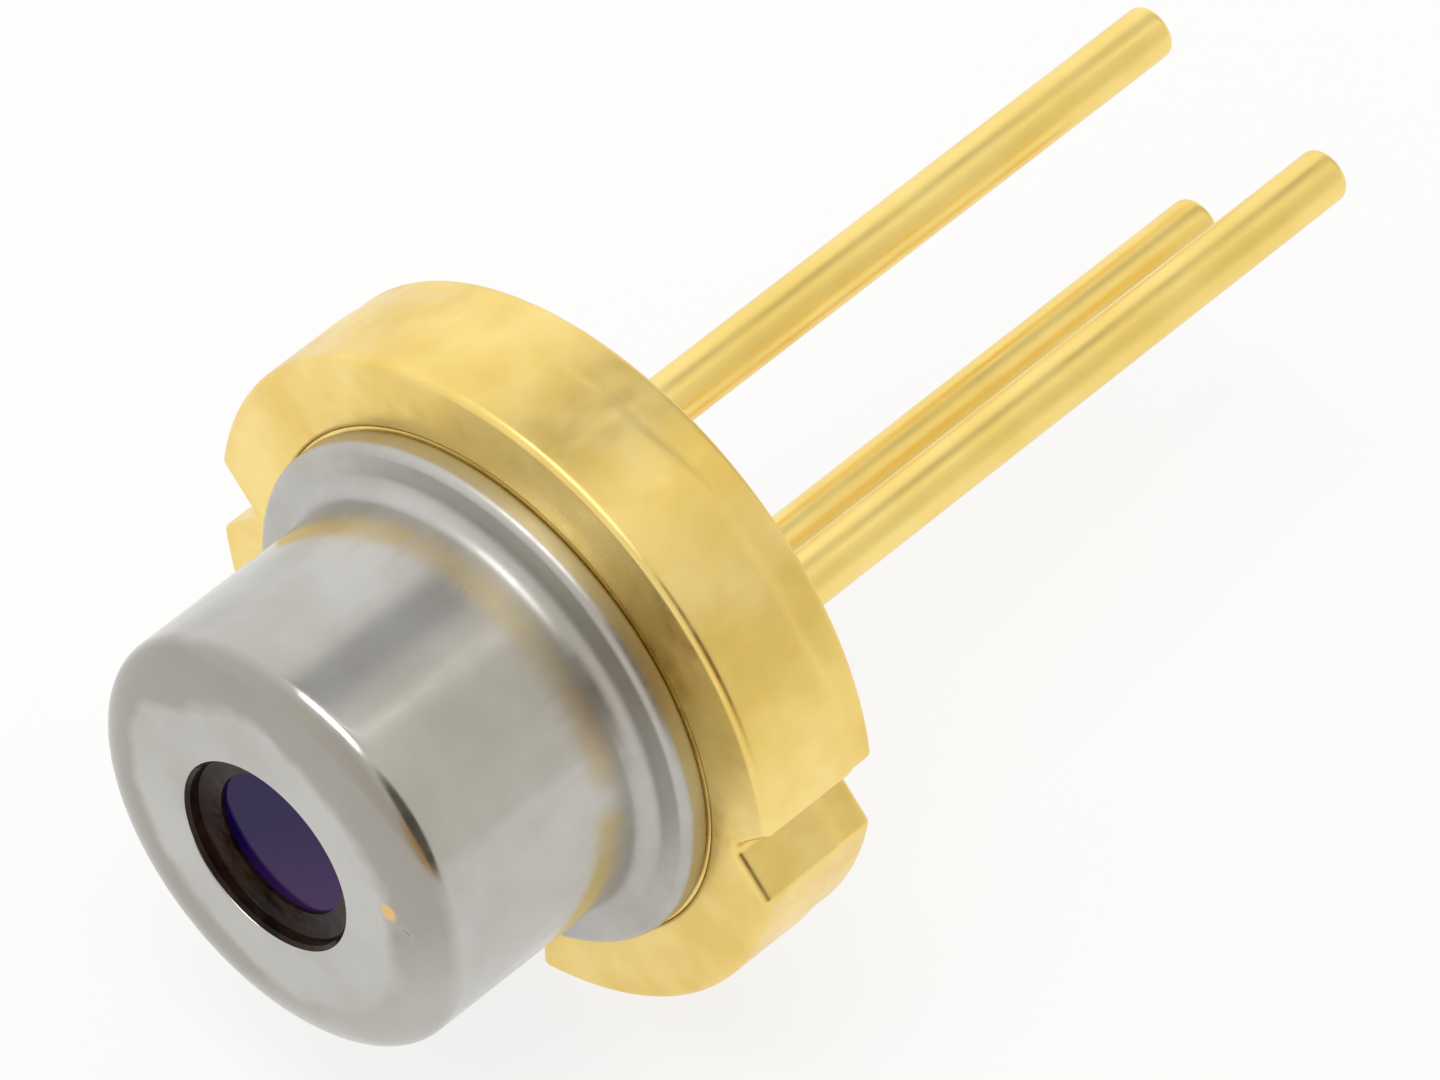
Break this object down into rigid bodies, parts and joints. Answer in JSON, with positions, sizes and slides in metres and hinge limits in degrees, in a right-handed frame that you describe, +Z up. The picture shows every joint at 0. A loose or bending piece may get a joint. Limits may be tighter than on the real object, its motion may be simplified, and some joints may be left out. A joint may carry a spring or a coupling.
{
  "type": "laser diode",
  "caption": "Metal-can laser diode: a notched round stem on wire leads, with a welded cap whose window lets the beam out.",
  "frame": {"origin": "centre of the stem's front face, on the optical axis", "axes": "-Y is the way the light leaves, +Y runs along the leads, +Z is up as the part lies on the two corners of its slot, +X points to the monitor's lead"},
  "size_m": [0.0056, 0.0108, 0.0056],
  "materials": {
    "gold_plated_steel": "steel with a bright gold plating",
    "gold_plated_copper": "copper with a bright gold plating",
    "gold_plated_lead": "drawn sealing-alloy wire with a bright gold plating",
    "seal_glass": "dark fused sealing glass",
    "braze": "braze fillet under gold plating",
    "weld_metal": "metal squeezed by the projection weld",
    "nickel_plated_steel": "drawn steel sheet with a satin nickel plating",
    "frit_glass": "dark brown low-melting sealing glass",
    "coated_window": "polished glass with a violet antireflection coating",
    "ceramic": "aluminium nitride ceramic",
    "solder": "reflowed gold-tin solder",
    "gold_film": "evaporated gold film",
    "laser_crystal": "cleaved compound semiconductor",
    "silicon": "polished silicon with a blue antireflection coating",
    "silver_epoxy": "silver-filled conductive epoxy",
    "aluminium_film": "evaporated aluminium film",
    "gold_wire": "drawn gold bond wire"
  },
  "bodies": {
    "root": {"stem_base": "gold_plated_steel", "heat_sink": "gold_plated_copper", "laser_lead_seal": "seal_glass", "monitor_lead_seal": "seal_glass", "laser_lead": "gold_plated_lead", "monitor_lead": "gold_plated_lead", "case_lead": "gold_plated_lead", "case_lead_braze": "braze", "weld_ring": "weld_metal", "cap_shell": "nickel_plated_steel", "window_frit": "frit_glass", "window_glass": "coated_window", "submount": "ceramic", "submount_solder": "solder", "die_pad": "gold_film", "chip_solder": "solder", "laser_chip": "laser_crystal", "chip_electrode": "gold_film", "photodiode": "silicon", "photodiode_epoxy": "silver_epoxy", "photodiode_electrode": "aluminium_film", "laser_wire": "gold_wire", "ground_wire": "gold_wire", "monitor_wire": "gold_wire"}
  },
  "joints": []
}
